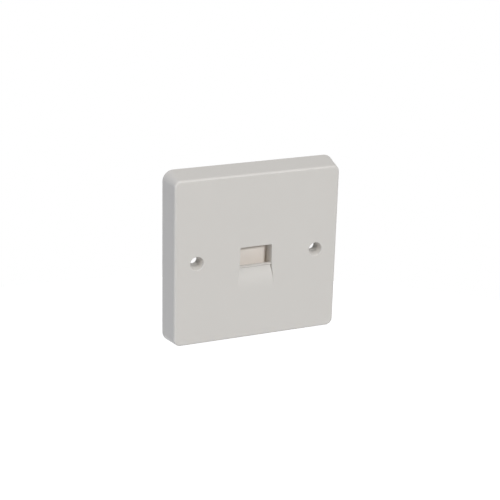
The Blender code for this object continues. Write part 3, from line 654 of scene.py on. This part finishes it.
# Each blade is stamped from 0.5 mm tinned bronze. The wire is pushed down its slit, which cuts through
# the insulation. Its tail is soldered in the board.
tinned = metal("tinned_bronze", (0.66, 0.65, 0.61), 0.3, (0.2, 1, 1))
x, z = ways[0]
tip, tip_round = block_end - 0.001, 0.0005
low, high = z - blade_thick / 2, z + blade_thick / 2
leg_half, leg_long = 0.00035, 0.0026
slit_half, slit_deep, just_past = 0.0002, 0.004, 0.0002
blade = bar("blade_1", (x - blade_half, block_base, low), (x + blade_half, tip, high))
sides = (x - blade_half, x + blade_half)
soften(lambda edge: level(edge, 1, tip) and any(level(edge, 0, side) for side in sides), tip_round)
leg = bar("tail", (x - leg_half, block_base - leg_long, low), (x + leg_half, block_base + 0.0003, high))
mould(blade, leg, "UNION")
slit = bar("slit", (x - slit_half, tip - slit_deep, z - past), (x + slit_half, tip + just_past, z + past))
bpy.ops.mesh.bisect(plane_co=(0, tip - flare_deep, 0), plane_no=(0, 1, 0))
pick("VERT", lambda corner: corner.co.y > tip)
bpy.ops.transform.resize(value=(slit_flare, 1, 1), center_override=(x, tip, z))
mould(blade, slit, "DIFFERENCE")
ease_edges(blade, strip_ease)
blades = [blade]
for number, (way_x, way_z) in enumerate(ways[1:], start=2):
    blades.append(copied(blade, f"blade_{number}", (way_x - x, 0, way_z - z)))
for number, piece in enumerate(blades, start=1):
    finished(piece, f"idc_blade_{number}", "socket", tinned)

# Four small pan-head steel screws with a cross recess: two hold the housing's ears to the faceplate,
# and two shorter ones hold the board to the housing.
shank, thread_root, pitch = 0.0012, 0.00095, 0.0005
screw_head, head_high, head_ease, crown_steps = 0.0023, 0.0014, 0.0001, 8
recess_half, recess_wide, recess_deep, recess_taper = 0.0012, 0.00032, 0.0008, 0.6


def pan_screw(name, x, z, rest, long):
    """Turns a screw that points to the front, with its head's underside just off the seat."""
    under = rest + seat_gap
    ridges = int((long - shank - pitch) / pitch)
    thread_start = rest - long + shank
    profile = [(shank / 3, rest - long), (thread_root, thread_start)]
    for ridge in range(ridges):
        y = thread_start + ridge * pitch
        profile += [(shank, y + pitch * 0.4), (thread_root, y + pitch * 0.98)]
    profile += [(shank, rest), (shank, under), (screw_head - head_ease, under),
                (screw_head, under + head_ease)]
    for step in range(1, crown_steps + 1):
        turn = math.pi / 2 * step / crown_steps
        profile.append((screw_head * (0.45 + 0.55 * math.cos(turn)),
                        under + head_high * (0.4 + 0.6 * math.sin(turn))))
    made = turned(name, x, z, profile, 32)
    crown = under + head_high
    for wide, tall in ((recess_half, recess_wide), (recess_wide, recess_half)):
        cut = bar("recess", (x - wide, crown - recess_deep, z - tall),
                  (x + wide, crown + just_past, z + tall))
        pick("VERT", lambda corner: corner.co.y < crown)
        bpy.ops.transform.resize(value=(recess_taper, 1, recess_taper), center_override=(x, crown, z))
        mould(made, cut, "DIFFERENCE")
    return made


left = pan_screw("housing_screw_1", opening_x - ear_x, plug_middle, ear_back, ear_screw)
right = copied(left, "housing_screw_2", (2 * ear_x, 0, 0))
board_left = pan_screw("board_screw_1", opening_x - board_screw_x, board_screw_z, board_back, board_screw)
board_right = copied(board_left, "board_screw_2", (2 * board_screw_x, 0, 0))
for piece, node in ((left, "housing_screw_left"), (right, "housing_screw_right"),
                    (board_left, "board_screw_left"), (board_right, "board_screw_right")):
    finished(piece, node, "socket", steel, 50)

# Floor, lights and camera. The floor is plain and pale, and lies well below the object, because the
# real one is fixed to a wall. The soft key light stands in front, a little higher than the camera. The
# camera was fitted to the plate's outline and its two holes.
floor_half, floor_low = 0.7, -0.3
let_go()
bpy.ops.mesh.primitive_circle_add(vertices=96, radius=floor_half, fill_type="NGON",
                                  location=(0, 0, floor_low))
floor = bpy.context.object
floor.name = "floor"


def seen_directly(nodes, links):
    """1 for what the camera sees, straight or in metal and glass, and 0 for the light that falls."""
    path = nodes.new("ShaderNodeLightPath")
    total = path.outputs["Is Camera Ray"]
    for ray in ("Is Glossy Ray", "Is Transmission Ray"):
        either = nodes.new("ShaderNodeMath")
        either.operation = "MAXIMUM"
        links.new(total, either.inputs[0])
        links.new(path.outputs[ray], either.inputs[1])
        total = either.outputs["Value"]
    return total


pale = bpy.data.materials.new("pale_floor")
pale.use_nodes = True
nodes, links = pale.node_tree.nodes, pale.node_tree.links
matt = nodes["Principled BSDF"]
matt.inputs["Base Color"].default_value = (0.8, 0.8, 0.8, 1)
matt.inputs["Roughness"].default_value = 0.9
matt.inputs["Emission Color"].default_value = (1, 1, 1, 1)
where = nodes.new("ShaderNodeTexCoord")
away = nodes.new("ShaderNodeVectorMath")
away.operation = "LENGTH"
links.new(where.outputs["Object"], away.inputs[0])
even = nodes.new("ShaderNodeMapRange")
even.inputs["From Max"].default_value = floor_half
even.inputs["To Min"].default_value = 0.46
even.inputs["To Max"].default_value = 0.72
links.new(away.outputs["Value"], even.inputs["Value"])
lift = nodes.new("ShaderNodeMath")
lift.operation = "MULTIPLY"
links.new(seen_directly(nodes, links), lift.inputs[0])
links.new(even.outputs["Result"], lift.inputs[1])
links.new(lift.outputs["Value"], matt.inputs["Emission Strength"])
floor.data.materials.append(pale)

world = bpy.data.worlds.new("studio")
bpy.context.scene.world = world
world.use_nodes = True
nodes, links = world.node_tree.nodes, world.node_tree.links
around = nodes["Background"]
around.inputs["Color"].default_value = (1, 1, 1, 1)
strength = nodes.new("ShaderNodeMapRange")
strength.inputs["To Min"].default_value = 0.15
strength.inputs["To Max"].default_value = 1.0
links.new(seen_directly(nodes, links), strength.inputs["Value"])
links.new(strength.outputs["Result"], around.inputs["Strength"])


def soft_light(name, location, size, power, colour=(1, 1, 1)):
    """A square soft light at a place, turned to the object."""
    let_go()
    bpy.ops.object.light_add(type="AREA", location=location)
    lamp = bpy.context.object
    lamp.name = name
    lamp.rotation_euler = (-lamp.location).to_track_quat("-Z", "Y").to_euler()
    lamp.data.size = size
    lamp.data.energy = power
    lamp.data.color = colour


soft_light("front_light", (0.247, -1.749, 0.939), 0.28, 24.1, (0.96, 0.985, 1))
soft_light("top_light", (0.09, -0.51, 1.932), 1, 11.4)
soft_light("left_light", (-1.075, -0.038, 0.229), 0.6, 3.8, (0.72, 0.83, 1))
soft_light("side_light", (-0.895, -0.517, 0.376), 0.6, 1.05, (1, 0.8, 0.55))

let_go()
bpy.ops.object.camera_add(location=(-0.23333, -0.56396, 0.23359),
                          rotation=[math.radians(a) for a in (68.9562, -1.3638, -22.0643)])
camera = bpy.context.object
camera.data.sensor_width = 36
camera.data.lens = 98.2
camera.data.clip_start = 0.01
camera.data.clip_end = 20
bpy.context.scene.camera = camera
bpy.context.scene.view_settings.view_transform = "Standard"
